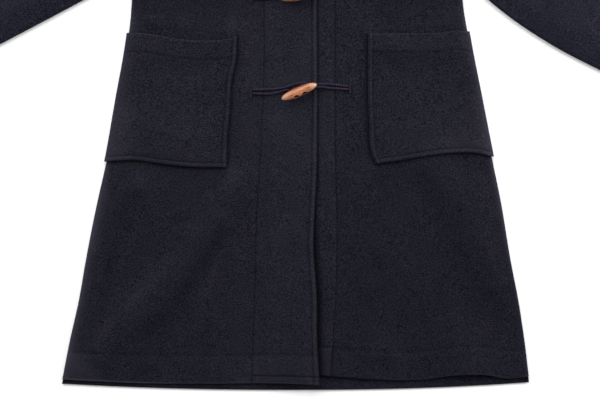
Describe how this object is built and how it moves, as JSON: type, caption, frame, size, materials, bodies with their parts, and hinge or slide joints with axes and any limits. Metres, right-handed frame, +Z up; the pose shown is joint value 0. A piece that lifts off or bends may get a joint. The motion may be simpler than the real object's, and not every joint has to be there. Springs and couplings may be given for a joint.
{
  "type": "duffle coat",
  "caption": "Hooded knee-length duffle coat in navy wool, laid flat, with patch pockets and wooden toggles.",
  "frame": {"origin": "on the flat underside of the back, on the coat's centre line, 400 mm above the hem", "axes": "+Y from hem to hood, +Z up from the surface it lies on, the wearer's right at -X"},
  "size_m": [1.374, 1.1664, 0.0338],
  "materials": {
    "wool": "felted navy wool with a short nap",
    "cord": "twisted dark navy cord",
    "toggle_wood": "varnished pale brown wood"
  },
  "bodies": {
    "root": {"back": "wool", "front_right": "wool", "front_left": "wool", "sleeve_right": "wool", "sleeve_left": "wool", "hood_right": "wool", "hood_left": "wool", "pocket_right": "wool", "pocket_left": "wool", "loop_1": "cord", "loop_2": "cord", "loop_3": "cord", "loop_4": "cord", "strap_1": "cord", "strap_2": "cord", "strap_3": "cord", "strap_4": "cord", "loop_bar_1": "cord", "loop_bar_2": "cord", "loop_bar_3": "cord", "loop_bar_4": "cord", "strap_bar_1": "cord", "strap_bar_2": "cord", "strap_bar_3": "cord", "strap_bar_4": "cord", "toggle_1": "toggle_wood", "toggle_2": "toggle_wood", "toggle_3": "toggle_wood", "toggle_4": "toggle_wood"}
  },
  "joints": []
}
